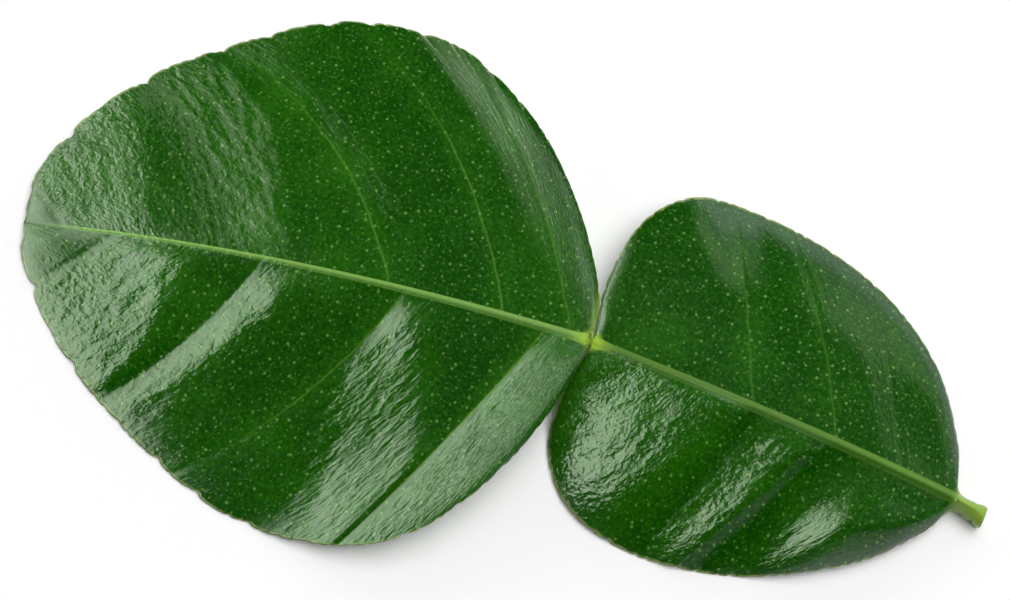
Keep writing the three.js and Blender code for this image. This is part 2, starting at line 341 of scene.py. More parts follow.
LEAFLET_BACK = HalfShape(
    side=Side.BACK,
    margin=(
        (0.2, 0.7), (0.2, 5.2), (3.5, 12.9), (8.4, 20.4), (13.4, 25.5), (20.2, 30.2),
        (28.2, 32), (36.4, 31), (45.6, 26.6), (54.2, 21.1), (61.3, 13.6), (64.7, 6.6), (64.5, 1.2),
    ),
    clefts=(
        (34, 0.4), (43, 0.3), (49.5, 0.45), (54, 0.6), (61, 0.5), (66.5, 0.6),
        (70, 0.35), (76, 0.8), (82, 0.25), (86.5, 0.9), (90.5, 0.2), (94.5, 0.5),
    ),
    veins=(
        Vein(2.3, 37, 0.1, 0.35),
        Vein(10, 51, 0.17, 0.5),
        Vein(22.8, 66, 0.2, 0.5),
        Vein(42, 76, 0.16),
        Vein(60, 94, 0.06),
    ),
    panels=(
        Panel(0.0),
        Panel(0.03, (0.5, 0.5), soft=1),
        Panel(0.12, (0.75, 0.75), crumple=5, soft=1, onset=0.5),
        Panel(0.3, (0.67, 0.3), crumple=1.5, soft=1),
        Panel(0.35, (0.5, 0.25), crumple=1.5, soft=1),
        Panel(0.03, soft=1),
    ),
    fold=1.0,
    fall=(0, 0.4),
)
WING_FRONT = HalfShape(
    side=Side.FRONT,
    margin=(
        (0, 1.8), (3.4, 1.2), (5.4, 4.6), (10.4, 10.1), (18.5, 15.2), (26.4, 18),
        (34.4, 18.9), (41.8, 17.1), (46.4, 12.1), (47.3, 6), (46.2, 0.75),
    ),
    veins=(Vein(17, 33, 0.05), Vein(27, 40, 0.05)),
    panels=(
        Panel(2.8, (0.66, 0.56), (1.0, 0.88), crumple=0.7, soft=0.6, onset=0.6),
        Panel(1.0, (0.38, 0.38), soft=0.8),
        Panel(1.0, (0.15, 0.3), crumple=1.5, soft=0.6, onset=0.07),
    ),
    fold=0.8,
    fall=(0.88, 1),
)
WING_BACK = HalfShape(
    side=Side.BACK,
    margin=(
        (0, 0.6), (3.4, 1.1), (5.4, 6), (10.2, 12.8), (17.2, 17.9), (25.3, 20.7),
        (34.2, 21.7), (40.6, 20.8), (44.6, 17.8), (46.9, 13.2), (47.4, 6), (46.2, 0.75),
    ),
    veins=(
        Vein(10, 31, 0.05),
        Vein(18, 41, 0.08, 0.3),
        Vein(27.6, 47.4, 0.02, 0.3),
        Vein(37, 55, 0.05),
    ),
    panels=tuple(Panel(rise, soft=1) for rise in (0.04, 0.04, 0.02, 0.04, 0.1)),
    fold=0.5,
    fall=(0.6, 1),
)


class HalfPoints:
    """Points on one half of a blade.

    share says how far a point's section has come, 0 at the base and 1 at the far end, and out
    says how far the point lies from the midrib, 0 on it and 1 on the margin.
    """

    def __init__(self, blade: "Blade", half: HalfShape, share: Array, out: Array) -> None:
        """Finds the two ends of each point's section and its panel between lateral veins.

        Args:
            blade: The blade.
            half: The shape of its half.
            share: Shares of growth.
            out: Shares of the way to the margin.
        """
        self.blade, self.half, self.share, self.out = blade, half, share, out
        self.outline = blade.outlines[half.side]
        slant = blade.slants[half.side].at(share)
        self.along = np.minimum(1, np.where(share < blade.stalk_share, share, slant))
        self.rim_x, rim_out = self.outline.at(self.along)
        self.rim_y = half.side.value * rim_out
        self.root_x = blade.root_at(share)
        self.root_y = blade.midline(self.root_x)
        self.reach = np.hypot(self.rim_x - self.root_x, self.rim_y - self.root_y)
        edges = blade.edges[half.side]
        self.panel = np.interp(share, edges, np.arange(len(edges)))

    def moved(self, share: Array, out: Array) -> "HalfPoints":
        """Returns points with other shares on the same half."""
        return HalfPoints(self.blade, self.half, share, out)

    def plan(self) -> tuple[Array, Array]:
        """Places the points as seen from above.

        Returns:
            Their X and Y.
        """
        out, sign = self.out, self.half.side.value
        opening = smoothstep(self.share, 0, self.blade.stalk_share + 0.1)
        bow = self.blade.bows[self.half.side].at(self.share) * opening
        bend_x = (self.root_x + self.rim_x) / 2 - np.abs(self.rim_y - self.root_y) * bow
        bend_y = (self.root_y + self.rim_y) / 2 + sign * np.abs(self.rim_x - self.root_x) * bow
        near, middle, far = (1 - out) ** 2, 2 * out * (1 - out), out**2
        cleft = self.cleft()
        run_x, run_out = self.outline.tangent(self.along)
        x = near * self.root_x + middle * bend_x + far * self.rim_x + run_out * cleft
        y = near * self.root_y + middle * bend_y + far * self.rim_y - sign * run_x * cleft
        return x, y

    def cleft(self) -> Array:
        """Finds how far the clefts and teeth of the margin draw the points inwards.

        Returns:
            Distances to move inwards.
        """
        distance = self.along * self.outline.length
        depth = np.zeros_like(distance)
        for place, deep in self.half.clefts:
            width = np.where(distance < place, CLEFT_RISE, CLEFT_FALL)
            depth += deep * np.exp(-np.abs(distance - place) / width)
        phase = distance / TOOTH_LENGTH + TOOTH_DRIFT * np.sin(TOOTH_DRIFT_RATE * distance)
        size = TOOTH_DEPTH * (0.6 + 0.4 * np.sin(TOOTH_SIZE_RATE * distance + 1))
        depth += size * (1 - np.abs(np.sin(np.pi * phase))) ** 2
        return depth * self.out**CLEFT_POWER

    def bulge(self) -> tuple[Array, ...]:
        """Finds each point's place on the bulge of its panel.

        Returns:
            The bulge's rise, crumple, softness and onset, and the place across the panel of
            the point, the crest and the foot.
        """
        index = np.minimum(self.panel.astype(int), len(self.half.veins))
        panels = self.half.panels
        traits = np.array([(p.rise, p.crumple, p.soft, p.onset, p.bend) for p in panels])
        lines = np.array([(*p.crest, *p.foot) for p in panels])
        rise, crumple, soft, onset, bend = np.moveaxis(traits[index], -1, 0)
        crest_near, crest_far, foot_near, foot_far = np.moveaxis(lines[index], -1, 0)
        crest = lerp(crest_near, crest_far, smoothstep(self.out / bend, 0, 1))
        foot = np.minimum(1, lerp(foot_near, foot_far, self.out))
        return rise, crumple, soft, onset, self.panel - index, crest, foot

    def quilt(self) -> Array:
        """Finds how far the panels between lateral veins bulge.

        Returns:
            Heights of the bulges.
        """
        rise, _, soft, onset, across, crest, foot = self.bulge()
        climb = np.where(across < crest, across / crest, (foot - across) / (foot - crest))
        climb = np.clip(climb, 0, 1)
        creased = np.sin(np.pi / 2 * climb) ** self.blade.crease
        shape = lerp(creased, smoothstep(climb**CREASE_POWER, 0, 1), soft)
        hem = 1 - self.blade.hem * self.out**3
        return rise * shape * smoothstep(self.out, -0.02, onset) * hem

    def height(self) -> Array:
        """Finds the height of the blade's middle surface.

        Returns:
            Heights above the floor.
        """
        blade = self.blade
        out = self.out - self.cleft() / np.maximum(1, self.reach)
        fall = lerp(out**2, out, self.half.fold)
        dome = lerp(blade.crown(self.root_x), blade.margin_height(self.half, self.share), fall)
        opening = smoothstep(self.share, blade.stalk_share, blade.stalk_share + 0.15)
        opening = opening * smoothstep(self.reach, 0, blade.roll_reach)
        roll = opening * smoothstep(out, 0, 0.6) * (1 - out**blade.roll_power)
        return dome + blade.roll * roll + self.moved(self.share, out).quilt()

    def crumple(self) -> Array:
        """Finds how crumpled the blade is: most on the side of a bulge that faces the tip.

        Returns:
            How strong the wrinkles are, from 0 where the blade is smooth.
        """
        rise, crumple, _, _, across, crest, foot = self.bulge()
        flank = smoothstep(across - crest, -0.25, 0.1) * (1 - smoothstep(across - foot, 0, 0.2))
        ends = smoothstep(across, 0, 0.1) * (1 - smoothstep(across, 0.88, 1))
        creased = crumple * flank * ends * smoothstep(rise, 0.05, 0.5)
        towards_tip = smoothstep(self.share, 0.5, 0.75) * (1 - smoothstep(self.share, 0.9, 0.98))
        return np.maximum(creased, self.blade.leathery * towards_tip)

    def vein_maps(self) -> tuple[Array, ...]:
        """Finds what the finish needs to know about the lateral veins.

        Returns:
            The panel, the distance along the margin, how clearly the nearest vein shows and
            the width of the panel.
        """
        marks = np.array([0.0, *(vein.mark for vein in self.half.veins), 0.0])
        nearest = np.round(self.panel).astype(int)
        return self.panel, self.outline.length * self.along, marks[nearest], self.panel_width()

    def panel_width(self) -> Array:
        """Measures the panels between two lateral veins, across the veins.

        Returns:
            Width of one whole panel at each point.
        """
        step, aside, inner = 1e-3, 0.02, 0.9
        out = np.minimum(self.out, inner)
        before = self.moved(np.clip(self.share - step, 0, 1), out)
        after = self.moved(np.clip(self.share + step, 0, 1), out)
        near = self.moved(self.share, np.clip(self.out - aside, 0, inner))
        far = self.moved(self.share, np.clip(self.out + aside, 2 * aside, inner + 2 * aside))
        step_x, step_y = np.subtract(after.plan(), before.plan())
        vein_x, vein_y = np.subtract(far.plan(), near.plan())
        across = np.abs(step_x * vein_y - step_y * vein_x) / (np.hypot(vein_x, vein_y) + 1e-9)
        return across / np.maximum(np.abs(after.panel - before.panel), 1e-6)


@dataclass
class Blade:
    """A thin domed blade with its midrib, lofted from the base of its growth to its far end.

    A section runs along a pair of lateral veins, so it has the shape of a chevron. stalk is the
    length of the bare stalk. roll is how far the blade arches between midrib and margin, in
    full where it is wider than roll_reach. crease is how gently a bulge rises from its veins,
    and hem is how much of it is gone at the margin. On top the midrib has crest_width of its
    width below and ridge of a half round's height. leathery is how wrinkled the blade is
    towards its tip.
    """

    name: str
    node: str
    slot: str
    front: HalfShape
    back: HalfShape
    start: float
    end: float
    stalk: float
    stalk_share: float
    root_power: float
    rib_radii: tuple[float, float]
    roll: float
    roll_power: float
    # The two midrib colours are painted light and shade: lighter on the midrib's back side, darker
    # on its front side.
    rib_painted_lit: Colour
    rib_painted_shade: Colour
    rows: int = 360
    columns: int = 124
    crease: float = 1.25
    hem: float = 0.88
    grain_slant: float = 0.85
    ridge: float = 0.3
    crest_width: float = 0.72
    swelling: float = 0.35
    flare: float = 0.0
    roll_reach: float = 7.0
    leathery: float = 0.0
    roughness: float = 0.135

    def __post_init__(self) -> None:
        """Measures the margins and finds the sections at the edges of the panels."""
        shares = np.linspace(0, 1, 4001)
        roots = self.root_at(shares)
        self.outlines, self.edges, self.slants, self.bows = {}, {}, {}, {}
        for half in (self.front, self.back):
            outline = Outline(half.margin)
            lines = np.interp([vein.root for vein in half.veins], roots, shares)
            edges = [self.stalk_share, *lines, 1.0]
            first = self.stalk_share * outline.length
            reaches = [first, *(vein.reach for vein in half.veins), outline.length]
            bows = [half.veins[0].bow, *(vein.bow for vein in half.veins), half.veins[-1].bow]
            self.outlines[half.side] = outline
            self.edges[half.side] = edges
            self.slants[half.side] = Run(edges, [reach / outline.length for reach in reaches])
            self.bows[half.side] = Run(edges, bows)

    def midline(self, x: Array) -> Array:
        """Returns the Y of the midrib at a place along the growth."""
        raise NotImplementedError

    def crown(self, x: Array) -> Array:
        """Returns the height of the midrib at a place along the growth."""
        raise NotImplementedError

    def margin_height(self, half: HalfShape, share: Array) -> Array:
        """Returns the height of a half's margin."""
        raise NotImplementedError

    def joint_distance(self, x: Array) -> Array:
        """Returns how far a place along the growth lies from the joint."""
        raise NotImplementedError

    def root_at(self, share: Array) -> Array:
        """Finds where a section's pair of lateral veins leaves the midrib.

        Args:
            share: Shares of growth.

        Returns:
            Places along the growth.
        """
        grown = np.maximum(0, (share - self.stalk_share) / (1 - self.stalk_share))
        spread = lerp(grown**self.root_power, grown, ROOT_EVENNESS)
        stalk = self.stalk * np.minimum(1, share / max(self.stalk_share, 1e-6))
        return self.start + stalk + (self.end - self.start - self.stalk) * spread

    def rib_radius(self, x: Array) -> Array:
        """Finds how thick the midrib is, with its swelling at the joint and its flared cut end.

        Args:
            x: Places along the growth.

        Returns:
            Radii of the midrib.
        """
        swelling = self.swelling * np.exp(-((self.joint_distance(x) / SWELLING_REACH) ** 2))
        flare = self.flare * np.exp(-((x / FLARE_REACH) ** 2))
        taper = np.clip(x / self.end, 0, 1) ** TAPER_POWER
        return lerp(*self.rib_radii, taper) + swelling + flare

    def spread(self, rows: Array, columns: Array) -> tuple[Array, Array]:
        """Turns places on a plain grid into shares, with rows on the lateral veins.

        Args:
            rows: Places from 0 to 1 along the growth.
            columns: Places from -1 at the back margin to 1 at the front margin.

        Returns:
            The shares of growth, and the signed shares of the way to the margin.
        """
        veins = [vein for edges in self.edges.values() for vein in edges[1:-1]]
        lines = spaced(self.rows + 1, [(vein, *VEIN_PEAK) for vein in veins])
        for vein in veins:
            lines[np.argmin(np.abs(lines - vein))] = vein
        share = np.interp(rows, np.linspace(0, 1, self.rows + 1), lines)
        steps = spaced(self.columns // 2 + 1, [(0, *MIDRIB_PEAK), (1, *MARGIN_PEAK)])
        out = np.interp(np.abs(columns), np.linspace(0, 1, len(steps)), steps)
        return share, np.sign(columns) * out

    def build(self) -> bpy.types.Object:
        """Models the blade in its own frame, in millimetres.

        Returns:
            The finished closed mesh, with its maps.
        """
        bpy.ops.object.select_all(action="DESELECT")
        grid = {"x_subdivisions": self.rows, "y_subdivisions": self.columns}
        bpy.ops.mesh.primitive_grid_add(size=2, calc_uvs=False, **grid)
        piece = bpy.context.object
        piece.name = self.name
        mesh = piece.data
        x, y, _ = points_of(mesh).T
        share, signed = self.spread((x + 1) / 2, y)
        solid = piece.modifiers.new("thickness", "SOLIDIFY")
        solid.thickness = BLADE_THICKNESS
        solid.offset = -1
        bpy.ops.object.modifier_apply(modifier=solid.name)
        top, bottom = self.skins(share, signed)
        mesh.vertices.foreach_set("co", np.concatenate([top, bottom]).ravel())
        self.map_corners(mesh, np.tile(share, 2), np.tile(signed, 2))
        self.map_points(mesh, np.tile(share, 2), np.tile(signed, 2), len(share))
        bpy.ops.object.shade_smooth()
        return piece

    def skins(self, share: Array, signed: Array) -> tuple[Array, Array]:
        """Places the upper and the lower skin.

        Args:
            share: Shares of growth.
            signed: Signed shares of the way to the margin.

        Returns:
            The points of the upper skin and of the lower skin.
        """
        out, is_front = np.abs(signed), signed > 0
        halves = self.halves(share, out)
        x, y = np.where(is_front, *(half.plan() for half in halves))
        middle = np.where(is_front, *(half.height() for half in halves))
        crumple = np.where(is_front, *(half.crumple() for half in halves))
        calm = smoothstep(out, 0.02, 0.2) * (1 - out**8)
        middle = middle + (self.sway(x, y) + crumple * self.wrinkle(x, y, signed)) * calm
        radius = self.rib_radius(x)
        aside = np.abs(y - self.midline(x))
        stalk = 1 - smoothstep(share, 0, self.stalk_share + 0.05)
        narrow = radius * lerp(self.crest_width, 1, stalk)
        keel = radius * np.sqrt(1 - np.minimum(1, aside / radius) ** 2)
        crest = narrow * np.sqrt(1 - np.minimum(1, aside / narrow) ** 2)
        skin = lerp(BLADE_THICKNESS, MARGIN_THICKNESS, out**4) / 2
        top = middle + np.maximum(skin, crest * lerp(self.ridge, 1, stalk))
        bottom = middle - np.maximum(skin, keel)
        return np.stack([x, y, top], 1), np.stack([x, y, bottom], 1)

    def halves(self, share: Array, out: Array) -> list["HalfPoints"]:
        """Returns the points as if all of them lay on the front half, and on the back half."""
        return [HalfPoints(self, half, share, out) for half in (self.front, self.back)]

    def sway(self, x: Array, y: Array) -> Array:
        """Returns the wide unevenness of the blade, as heights to add to it."""
        return SWAY_HEIGHT * cloud(x / SWAY_LENGTH, y / SWAY_LENGTH, SWAY_LEVEL)

    def wrinkle(self, x: Array, y: Array, signed: Array) -> Array:
        """Finds the creases of crumpled places, drawn out along the lateral veins.

        Args:
            x: Places along the growth.
            y: Places across it.
            signed: Signed shares of the way to the margin.

        Returns:
            Heights to add where the blade is most crumpled.
        """
        mirrored = np.sign(signed) * y
        cos, sin = math.cos(self.grain_slant), math.sin(self.grain_slant)
        along, across = x * cos + mirrored * sin, x * sin - mirrored * cos
        height = np.zeros_like(x)
        for width, length, depth in WRINKLES:
            height += depth * (1 - 2 * np.abs(cloud(across / width, along / length, width)))
        return height

    def map_corners(self, mesh: bpy.types.Mesh, share: Array, signed: Array) -> None:
        """Writes the maps that differ on the two sides of the midrib.

        Args:
            mesh: The mesh of the blade, all of faces with four corners.
            share: Share of growth of each vertex.
            signed: Signed share of the way to the margin of each vertex.
        """
        corners = np.empty(len(mesh.loops), int)
        mesh.loops.foreach_get("vertex_index", corners)
        out = np.abs(signed[corners])
        is_front = np.repeat(signed[corners].reshape(-1, 4).sum(1) > 0, 4)
        halves = self.halves(share[corners], out)
        panel, run, mark, width = np.where(is_front, *(half.vein_maps() for half in halves))
        for label, first, second in (("veins", panel, out), ("grain", run, out * GRAIN_WIDTH)):
            layer = mesh.uv_layers.new(name=label)
            layer.data.foreach_set("uv", np.stack([first, second], 1).ravel())
        self.store(mesh, "mark", "CORNER", mark)
        self.store(mesh, "panel_width", "CORNER", width)

    def map_points(self, mesh: bpy.types.Mesh, share: Array, signed: Array, skin: int) -> None:
        """Writes the maps that have one value at each vertex.

        Args:
            mesh: The mesh of the blade.
            share: Share of growth of each vertex.
            signed: Signed share of the way to the margin of each vertex.
            skin: How many vertices the upper skin has.
        """
        out, is_front = np.abs(signed), signed > 0
        halves = self.halves(share, out)
        x, y, _ = points_of(mesh).T
        aside = y - self.midline(x)
        maps = {
            "rib": aside / (self.rib_radius(x) * self.crest_width),
            "joint": np.hypot(self.joint_distance(x), aside),
            "root": x,
            "lower": (np.arange(len(x)) >= skin).astype(float),
            "crumple": np.minimum(1, np.where(is_front, *(half.crumple() for half in halves))),
            "rim": np.where(is_front, *(half.reach for half in halves)) * (1 - out),
        }
        for label, values in maps.items():
            self.store(mesh, label, "POINT", values)

    def store(self, mesh: bpy.types.Mesh, label: str, domain: str, values: Array) -> None:
        """Writes one named number per vertex or corner."""
        mesh.attributes.new(label, "FLOAT", domain).data.foreach_set("value", values)


@dataclass
class Leaflet(Blade):
    """The leaflet: widest near its base, arching down to its tip."""

    name: str = "leaflet"
    node: str = "terminal_leaflet"
    slot: str = "leaflet_blade"
    front: HalfShape = LEAFLET_FRONT
    back: HalfShape = LEAFLET_BACK
    start: float = -JOINT_OVERLAP / 2
    end: float = LEAFLET_LENGTH
    stalk: float = 0.0
    stalk_share: float = 0.0
    root_power: float = 2.5
    rib_radii: tuple[float, float] = (0.83, 0.28)
    roll: float = 0.3
    roll_power: float = 12
    # Midrib colours: painted light on the back side, painted shade on the front side.
    rib_painted_lit: Colour = srgb(106, 150, 60)
    rib_painted_shade: Colour = srgb(60, 106, 20)
    leathery: float = 0.35
    tip_height: float = 0.35
    arch_power: float = 2.8
    bow: float = 1.7
    bow_along: float = 38.0

    def midline(self, x: Array) -> Array:
        """Returns the Y of the midrib at a place along the growth."""
        return -self.bow * (1 - ((x - self.bow_along) / self.bow_along) ** 2)

    def crown(self, x: Array) -> Array:
        """Returns the height of the midrib at a place along the growth."""
        grown = np.maximum(0, x / LEAFLET_LENGTH)
        return lerp(JOINT_HEIGHT, self.tip_height, grown**self.arch_power)

    def joint_distance(self, x: Array) -> Array:
        """Returns how far a place along the growth lies from the joint."""
        return np.abs(x)

    def margin_height(self, half: HalfShape, share: Array) -> Array:
        """Returns the height of the margin, which comes down from the joint to the floor."""
        hang = JOINT_HEIGHT * (1 - smoothstep(share, *half.fall))
        return hang + self.tip_height * smoothstep(share, 0.9, 1)


@dataclass
class WingedPetiole(Blade):
    """The petiole: a bare stalk that opens into two wings and ends at the joint."""

    name: str = "petiole"
    node: str = "winged_petiole"
    slot: str = "petiole_wings"
    front: HalfShape = WING_FRONT
    back: HalfShape = WING_BACK
    start: float = 0.0
    end: float = PETIOLE_LENGTH + JOINT_OVERLAP / 2
    stalk: float = 3.4
    stalk_share: float = 0.05
    root_power: float = 1.5
    rib_radii: tuple[float, float] = (1.15, 0.85)
    roll: float = 0.5
    roll_power: float = 10
    # Midrib colours: painted light on the back side, painted shade on the front side.
    rib_painted_lit: Colour = srgb(76, 118, 24)
    rib_painted_shade: Colour = srgb(46, 86, 10)
    rows: int = 300
    columns: int = 120
    hem: float = 0.6
    crease: float = 1.7
    crest_width: float = 0.64
    flare: float = 0.15
    roughness: float = 0.155
    stalk_bend: float = 0.6
    bend_length: float = 5.0
    stalk_height: float = 1.2
    stalk_drop: float = 0.3
    crest_along: float = 28.0
    crest_height: float = 6.4

    def midline(self, x: Array) -> Array:
        """Returns the Y of the midrib at a place along the growth."""
        return self.stalk_bend * np.maximum(0, 1 - x / self.bend_length) ** 2

    def crown(self, x: Array) -> Array:
        """Returns the height of the midrib at a place along the growth."""
        rise = ((x - self.crest_along) / self.crest_along) ** 2
        fall = ((x - self.crest_along) / (PETIOLE_LENGTH - self.crest_along)) ** 2
        before = lerp(self.crest_height, self.stalk_height, rise)
        return np.where(x < self.crest_along, before, lerp(self.crest_height, JOINT_HEIGHT, fall))

    def joint_distance(self, x: Array) -> Array:
        """Returns how far a place along the growth lies from the joint."""
        return np.abs(PETIOLE_LENGTH - x)

    def margin_height(self, half: HalfShape, share: Array) -> Array:
        """Returns the height of the margin, which rises to the joint at the far end."""
        stalk = self.stalk_height * (1 - smoothstep(share, self.stalk_share, self.stalk_drop))
        return stalk + JOINT_HEIGHT * smoothstep(share, *half.fall)


class Value:
    """One output of a shader node. Arithmetic on it adds Math nodes to its tree."""

    def __init__(self, tree: "Tree", socket: bpy.types.NodeSocket) -> None:
        """Keeps the tree and the socket."""
        self.tree = tree
        self.socket = socket

    def math(self, operation: str, *values: "Value | float") -> "Value":
        """Returns the result of a Math node on the values."""
        return self.tree.add("ShaderNodeMath", {"operation": operation}, dict(enumerate(values)))

    def __add__(self, other: "Value | float") -> "Value":
        """Adds a number."""
        return self.math("ADD", self, other)

    def __radd__(self, other: float) -> "Value":
        """Adds to a number."""
        return self.math("ADD", other, self)

    def __sub__(self, other: "Value | float") -> "Value":
        """Takes a number away."""
        return self.math("SUBTRACT", self, other)

    def __rsub__(self, other: float) -> "Value":
        """Takes the value from a number."""
        return self.math("SUBTRACT", other, self)

    def __mul__(self, other: "Value | float") -> "Value":
        """Multiplies by a number."""
        return self.math("MULTIPLY", self, other)

    def __rmul__(self, other: float) -> "Value":
        """Multiplies a number."""
        return self.math("MULTIPLY", other, self)

    def __abs__(self) -> "Value":
        """Drops the sign."""
        return self.math("ABSOLUTE", self)

    def __round__(self) -> "Value":
        """Rounds to a whole number."""
        return self.math("ROUND", self)

    def step(self, low: float, high: float, start: float = 0.0, end: float = 1.0) -> "Value":
        """Eases from start to end as the value goes from low to high.

        Args:
            low: Where the step starts.
            high: Where the step ends.
            start: Result up to low.
            end: Result from high on.

        Returns:
            The eased value.
        """
        settings = {"interpolation_type": "SMOOTHSTEP"}
        inputs = {0: self, 1: low, 2: high, 3: start, 4: end}
        if low > high:
            inputs = {0: self, 1: high, 2: low, 3: end, 4: start}
        return self.tree.add("ShaderNodeMapRange", settings, inputs)


class Tree:
    """The shader nodes of one material or world."""

    def __init__(self, owner: bpy.types.Material | bpy.types.World) -> None:
        """Empties the owner's nodes.

        Args:
            owner: The material or world.
        """
        self.owner = owner
        owner.use_nodes = True
        self.nodes = owner.node_tree.nodes
        self.nodes.clear()

    def add(
        self,
        kind: str,
        settings: dict[str, Any],
        inputs: dict[int | str, Any],
        output: int | str = 0,
    ) -> Value:
        """Adds a node.

        Args:
            kind: Type of the node.
            settings: Its properties, which are set first.
            inputs: Value or link of each of its sockets.
            output: Which output to return.

        Returns:
            The chosen output.
        """
        node = self.nodes.new(kind)
        for label, setting in settings.items():
            setattr(node, label, setting)
        for label, value in inputs.items():
            socket = node.inputs[label]
            if isinstance(value, Value):
                self.owner.node_tree.links.new(value.socket, socket)
            else:
                socket.default_value = value
        return Value(self, node.outputs[output])

    def attribute(self, label: str) -> Value:
        """Returns a number stored on the mesh."""
        return self.add("ShaderNodeAttribute", {"attribute_name": label}, {}, "Fac")

    def uv(self, label: str) -> Value:
        """Returns one of the piece's own maps."""
        return self.add("ShaderNodeUVMap", {"uv_map": label}, {})

    def part(self, vector: Value, axis: int) -> Value:
        """Returns one coordinate of a vector."""
        return self.add("ShaderNodeSeparateXYZ", {}, {0: vector}, axis)

    def stretch(self, vector: Value, factors: tuple[float, float, float]) -> Value:
        """Returns a vector multiplied axis by axis."""
        return self.add("ShaderNodeVectorMath", {"operation": "MULTIPLY"}, {0: vector, 1: factors})

    def shift(self, vector: Value, offset: tuple[float, float, float]) -> Value:
        """Returns a vector moved by an offset."""
        return self.add("ShaderNodeVectorMath", {"operation": "ADD"}, {0: vector, 1: offset})

    def mix(self, first: Value | Colour, second: Value | Colour, share: Value | float) -> Value:
        """Returns a colour between two colours."""
        settings = {"data_type": "RGBA"}
        return self.add("ShaderNodeMix", settings, {0: share, 6: first, 7: second}, 2)

    def noise(self, vector: Value, scale: float, detail: float) -> Value:
        """Returns cloudy noise between 0 and 1, scale lumps to a unit."""
        inputs = {"Vector": vector, "Scale": scale, "Detail": detail}
        return self.add("ShaderNodeTexNoise", {}, inputs)

    def cells(self, vector: Value, scale: float, output: int = 0) -> Value:
        """Returns a measure of flat irregular cells, scale cells to a unit."""
        settings = {"voronoi_dimensions": "2D", "feature": "F1"}
        inputs = {"Vector": vector, "Scale": scale}
        return self.add("ShaderNodeTexVoronoi", settings, inputs, output)

    def bump(self, height: Value, distance: float) -> Value:
        """Returns the normal of a surface with a relief, distance metres to a height of 1."""
        inputs = {"Height": height, "Distance": distance, "Strength": 1.0}
        return self.add("ShaderNodeBump", {}, inputs)

    def finish(self, inputs: dict[int | str, Any]) -> bpy.types.Material:
        """Ends the tree in one Principled surface and returns the material."""
        self.end("ShaderNodeOutputMaterial", self.add("ShaderNodeBsdfPrincipled", {}, inputs))
        return self.owner

    def end(self, kind: str, surface: Value) -> None:
        """Links the last shader to an output node of this kind."""
        output = self.nodes.new(kind)
        self.owner.node_tree.links.new(surface.socket, output.inputs["Surface"])


class LeafTree(Tree):
    """The tree of a leaf's finish, with the maps of its blade as values."""

    def __init__(self, owner: bpy.types.Material) -> None:
        """Adds a node for each map.

        Args:
            owner: The material of the leaf.
        """
        super().__init__(owner)
        object_place = self.add("ShaderNodeTexCoord", {}, {}, "Object")
        self.place = self.stretch(object_place, (1 / MM, 1 / MM, 1 / MM))
        self.grain = self.uv("grain")
        self.joint = self.attribute("joint")
        self.root = self.attribute("root")
        self.rim = self.attribute("rim")
        self.across_rib = self.attribute("rib")
        self.lower = self.attribute("lower")
        self.crumple = self.attribute("crumple")
        self.mark = self.attribute("mark")
        veins = self.uv("veins")
        self.out = self.part(veins, 1)
        panel = self.part(veins, 0)
        number = round(panel)
        waver = (self.noise(self.place, 0.35, 2) - 0.5) * 0.5
        self.vein_away = abs((panel - number) * self.attribute("panel_width") + waver)
        self.past_base = number.step(0.4, 0.6)


